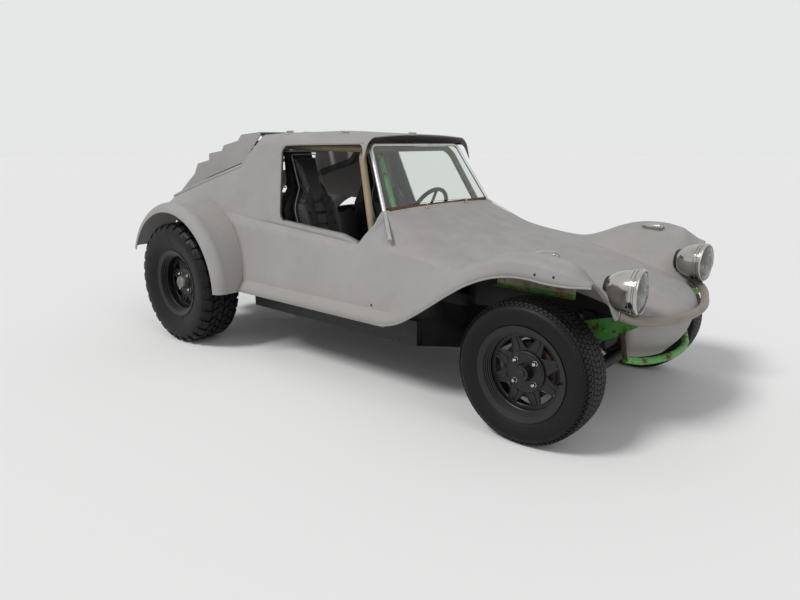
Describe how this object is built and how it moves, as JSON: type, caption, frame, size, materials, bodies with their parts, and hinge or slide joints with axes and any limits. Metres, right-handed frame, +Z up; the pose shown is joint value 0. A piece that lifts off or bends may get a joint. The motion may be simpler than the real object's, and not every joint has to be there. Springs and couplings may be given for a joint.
{
  "type": "dune buggy",
  "caption": "Two-seat rear-engined dune buggy with moulded body, hardtop, empty door openings, louvred rear hatch, steered front wheels and wide rear wheels.",
  "frame": {"origin": "on the ground under the middle of the car's length and width", "axes": "+X forward, +Y to the car's left, +Z up"},
  "size_m": [3.4383, 1.76, 1.3199],
  "materials": {
    "body_primer": "matte primer on moulded fibreglass",
    "tyre_rubber": "worn tread rubber",
    "rim_black": "satin black paint on pressed steel",
    "drum_rust": "surface rust",
    "chassis_black": "chassis paint with rust",
    "engine_alloy": "cast and dull",
    "exhaust_steel": "heat-stained steel",
    "cage_brown": "weathered primer",
    "brace_green": "faded green paint with rust",
    "bumper_brown": "grey-brown primer",
    "seat_shell": "moulded black shell",
    "seat_vinyl": "black leather-cloth",
    "chrome": "polished chrome",
    "lens": "ribbed lamp glass",
    "glass": "laminated windshield glass",
    "aluminium": "bright drawn tube",
    "lamp_red": "moulded red lens",
    "black_plastic": "moulded black plastic"
  },
  "bodies": {
    "root": {"floor_pan": "chassis_black", "front_beam": "chassis_black", "shocks": "chassis_black", "steering_column": "chassis_black", "rear_suspension": "chassis_black", "transaxle": "engine_alloy", "engine": "engine_alloy", "exhaust": "exhaust_steel", "side_panel_left": "body_primer", "side_panel_right": "body_primer", "hood": "body_primer", "front_fender_left": "body_primer", "front_fender_right": "body_primer", "nose_valance": "body_primer", "rear_fender_left": "body_primer", "rear_fender_right": "body_primer", "hardtop": "body_primer", "tail_panel": "body_primer", "tail_lamps": "lamp_red", "dashboard": "black_plastic", "rear_bulkhead": "body_primer", "windshield_frame": "aluminium", "windshield_glass": "glass", "roll_cage": "cage_brown", "cage_brace": "brace_green", "seat_shell_left": "seat_shell", "seat_shell_right": "seat_shell", "seat_cushions_left": "seat_vinyl", "seat_cushions_right": "seat_vinyl", "levers": "chassis_black", "headlight_shells": "chrome", "headlight_lenses": "lens", "turn_signals": "chrome", "bumper_bar": "bumper_brown", "bumper_loop": "brace_green", "bumper_brackets": "brace_green", "roof_hinges": "chrome", "wipers": "black_plastic"},
    "engine_hatch": {"engine_hatch": "body_primer"},
    "steering_wheel": {"steering_wheel": "black_plastic"},
    "tie_rod": {"tie_rod": "chassis_black"},
    "knuckle_left": {"knuckle_left": "chassis_black"},
    "knuckle_right": {"knuckle_right": "chassis_black"},
    "wheel_front_left": {"tyre_front_left": "tyre_rubber", "rim_front_left": "rim_black", "drum_front_left": "drum_rust"},
    "wheel_front_right": {"tyre_front_right": "tyre_rubber", "rim_front_right": "rim_black", "drum_front_right": "drum_rust"},
    "wheel_rear_left": {"tyre_rear_left": "tyre_rubber", "rim_rear_left": "rim_black", "drum_rear_left": "drum_rust"},
    "wheel_rear_right": {"tyre_rear_right": "tyre_rubber", "rim_rear_right": "rim_black", "drum_rear_right": "drum_rust"}
  },
  "joints": [
    {"name": "steer_left", "type": "hinge", "parent": "root", "child": "knuckle_left", "pos_m": [1.23, 0.52, 0.313], "axis": [0, 0, 1], "range_deg": [-28, 28]},
    {"name": "steer_right", "type": "hinge", "parent": "root", "child": "knuckle_right", "pos_m": [1.23, -0.52, 0.313], "axis": [0, 0, 1], "range_deg": [-28, 28]},
    {"name": "tie_rod_slide", "type": "slide", "parent": "root", "child": "tie_rod", "axis": [0, 1, 0], "range_m": [-0.062, 0.062]},
    {"name": "steering_wheel_turn", "type": "hinge", "parent": "root", "child": "steering_wheel", "pos_m": [-0.072, 0.32, 0.805], "axis": [-0.9063, 0, 0.4226], "range_deg": [-400, 400]},
    {"name": "hatch_hinge", "type": "hinge", "parent": "root", "child": "engine_hatch", "pos_m": [-0.723, 0, 1.305], "axis": [0, 1, 0], "range_deg": [0, 60]},
    {"name": "spin_front_left", "type": "hinge", "parent": "knuckle_left", "child": "wheel_front_left", "pos_m": [1.23, 0.635, 0.313], "axis": [0, 1, 0], "continuous": true},
    {"name": "spin_front_right", "type": "hinge", "parent": "knuckle_right", "child": "wheel_front_right", "pos_m": [1.23, -0.635, 0.313], "axis": [0, 1, 0], "continuous": true},
    {"name": "spin_rear_left", "type": "hinge", "parent": "root", "child": "wheel_rear_left", "pos_m": [-1.17, 0.75, 0.381], "axis": [0, 1, 0], "continuous": true},
    {"name": "spin_rear_right", "type": "hinge", "parent": "root", "child": "wheel_rear_right", "pos_m": [-1.17, -0.75, 0.381], "axis": [0, 1, 0], "continuous": true}
  ],
  "couplings": [
    {"joint": "steer_right", "follows": "steer_left", "ratio": 1},
    {"joint": "tie_rod_slide", "follows": "steer_left", "m_per_rad": -0.12},
    {"joint": "steering_wheel_turn", "follows": "steer_left", "ratio": 14}
  ]
}
